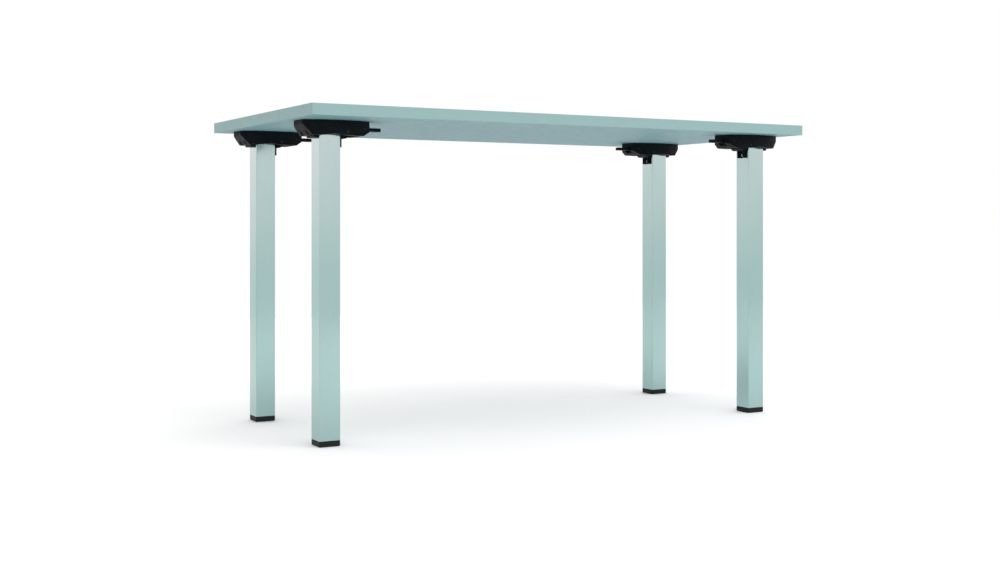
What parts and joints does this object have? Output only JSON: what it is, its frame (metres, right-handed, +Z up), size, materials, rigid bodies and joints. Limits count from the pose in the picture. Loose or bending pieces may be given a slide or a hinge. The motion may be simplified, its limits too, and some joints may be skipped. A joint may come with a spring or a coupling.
{
  "type": "folding leg table",
  "caption": "Rectangular laminated table top on square chromed legs that fold flat under it, each on a black cast housing with a release lever.",
  "frame": {"origin": "on the floor, under the middle of the table top", "axes": "+X along the table's length, +Y across its depth towards the back, +Z up"},
  "size_m": [1.36, 0.68, 0.75],
  "materials": {
    "board_core": "pressed particle board",
    "top_laminate": "fine satin laminate, pale blue-grey",
    "backing_laminate": "satin backing laminate, pale blue-grey",
    "edge_band": "satin edging strip",
    "casting_black": "fine matt black powder coat on a die casting",
    "lever_black": "fine matt black powder coat",
    "chrome_tube": "polished chrome",
    "black_steel": "blackened steel",
    "zinc_plated_steel": "bright zinc plating",
    "spring_steel": "blued spring steel",
    "bush_nylon": "natural nylon",
    "plug_plastic": "grey moulded plastic",
    "foot_plastic": "black moulded plastic, slightly soft"
  },
  "bodies": {
    "top": {"top_core": "board_core", "top_laminate": "top_laminate", "backing_laminate": "backing_laminate", "edge_band": "edge_band", "pivot_bushes": "bush_nylon", "spring_rivets": "zinc_plated_steel", "front_left_housing": "casting_black", "front_left_base_plate": "zinc_plated_steel", "front_left_mounting_screws": "zinc_plated_steel", "front_left_pivot_pin": "black_steel", "front_left_lever_pin": "black_steel", "front_left_catch_spring": "spring_steel", "back_left_housing": "casting_black", "back_left_base_plate": "zinc_plated_steel", "back_left_mounting_screws": "zinc_plated_steel", "back_left_pivot_pin": "black_steel", "back_left_lever_pin": "black_steel", "back_left_catch_spring": "spring_steel", "back_right_housing": "casting_black", "back_right_base_plate": "zinc_plated_steel", "back_right_mounting_screws": "zinc_plated_steel", "back_right_pivot_pin": "black_steel", "back_right_lever_pin": "black_steel", "back_right_catch_spring": "spring_steel", "front_right_housing": "casting_black", "front_right_base_plate": "zinc_plated_steel", "front_right_mounting_screws": "zinc_plated_steel", "front_right_pivot_pin": "black_steel", "front_right_lever_pin": "black_steel", "front_right_catch_spring": "spring_steel"},
    "front_left_leg": {"front_left_leg_head": "casting_black", "front_left_head_screw": "zinc_plated_steel", "front_left_leg_tube": "chrome_tube", "front_left_foot_plug": "plug_plastic"},
    "front_left_lever": {"front_left_latch_lever": "lever_black"},
    "front_left_foot": {"front_left_foot_block": "foot_plastic", "front_left_foot_stud": "zinc_plated_steel"},
    "back_left_leg": {"back_left_leg_head": "casting_black", "back_left_head_screw": "zinc_plated_steel", "back_left_leg_tube": "chrome_tube", "back_left_foot_plug": "plug_plastic"},
    "back_left_lever": {"back_left_latch_lever": "lever_black"},
    "back_left_foot": {"back_left_foot_block": "foot_plastic", "back_left_foot_stud": "zinc_plated_steel"},
    "back_right_leg": {"back_right_leg_head": "casting_black", "back_right_head_screw": "zinc_plated_steel", "back_right_leg_tube": "chrome_tube", "back_right_foot_plug": "plug_plastic"},
    "back_right_lever": {"back_right_latch_lever": "lever_black"},
    "back_right_foot": {"back_right_foot_block": "foot_plastic", "back_right_foot_stud": "zinc_plated_steel"},
    "front_right_leg": {"front_right_leg_head": "casting_black", "front_right_head_screw": "zinc_plated_steel", "front_right_leg_tube": "chrome_tube", "front_right_foot_plug": "plug_plastic"},
    "front_right_lever": {"front_right_latch_lever": "lever_black"},
    "front_right_foot": {"front_right_foot_block": "foot_plastic", "front_right_foot_stud": "zinc_plated_steel"}
  },
  "joints": [
    {"name": "front_left_leg_fold", "type": "hinge", "parent": "top", "child": "front_left_leg", "pos_m": [-0.551, -0.182, 0.699], "axis": [0, -1, 0], "range_deg": [0, 90], "deforming": ["front_left_catch_spring"]},
    {"name": "front_left_lever_pull", "type": "hinge", "parent": "top", "child": "front_left_lever", "pos_m": [-0.505, -0.182, 0.708], "axis": [0, 1, 0], "range_deg": [0, 8], "stiffness_Nm_per_rad": 0.8},
    {"name": "front_left_foot_level", "type": "slide", "parent": "front_left_leg", "child": "front_left_foot", "axis": [0, 0, -1], "range_m": [0, 0.01]},
    {"name": "back_left_leg_fold", "type": "hinge", "parent": "top", "child": "back_left_leg", "pos_m": [-0.551, 0.242, 0.699], "axis": [0, -1, 0], "range_deg": [0, 90], "deforming": ["back_left_catch_spring"]},
    {"name": "back_left_lever_pull", "type": "hinge", "parent": "top", "child": "back_left_lever", "pos_m": [-0.505, 0.242, 0.708], "axis": [0, 1, 0], "range_deg": [0, 8], "stiffness_Nm_per_rad": 0.8},
    {"name": "back_left_foot_level", "type": "slide", "parent": "back_left_leg", "child": "back_left_foot", "axis": [0, 0, -1], "range_m": [0, 0.01]},
    {"name": "back_right_leg_fold", "type": "hinge", "parent": "top", "child": "back_right_leg", "pos_m": [0.551, 0.182, 0.699], "axis": [0, 1, 0], "range_deg": [0, 90], "deforming": ["back_right_catch_spring"]},
    {"name": "back_right_lever_pull", "type": "hinge", "parent": "top", "child": "back_right_lever", "pos_m": [0.505, 0.182, 0.708], "axis": [0, -1, 0], "range_deg": [0, 8], "stiffness_Nm_per_rad": 0.8},
    {"name": "back_right_foot_level", "type": "slide", "parent": "back_right_leg", "child": "back_right_foot", "axis": [0, 0, -1], "range_m": [0, 0.01]},
    {"name": "front_right_leg_fold", "type": "hinge", "parent": "top", "child": "front_right_leg", "pos_m": [0.551, -0.242, 0.699], "axis": [0, 1, 0], "range_deg": [0, 90], "deforming": ["front_right_catch_spring"]},
    {"name": "front_right_lever_pull", "type": "hinge", "parent": "top", "child": "front_right_lever", "pos_m": [0.505, -0.242, 0.708], "axis": [0, -1, 0], "range_deg": [0, 8], "stiffness_Nm_per_rad": 0.8},
    {"name": "front_right_foot_level", "type": "slide", "parent": "front_right_leg", "child": "front_right_foot", "axis": [0, 0, -1], "range_m": [0, 0.01]}
  ]
}
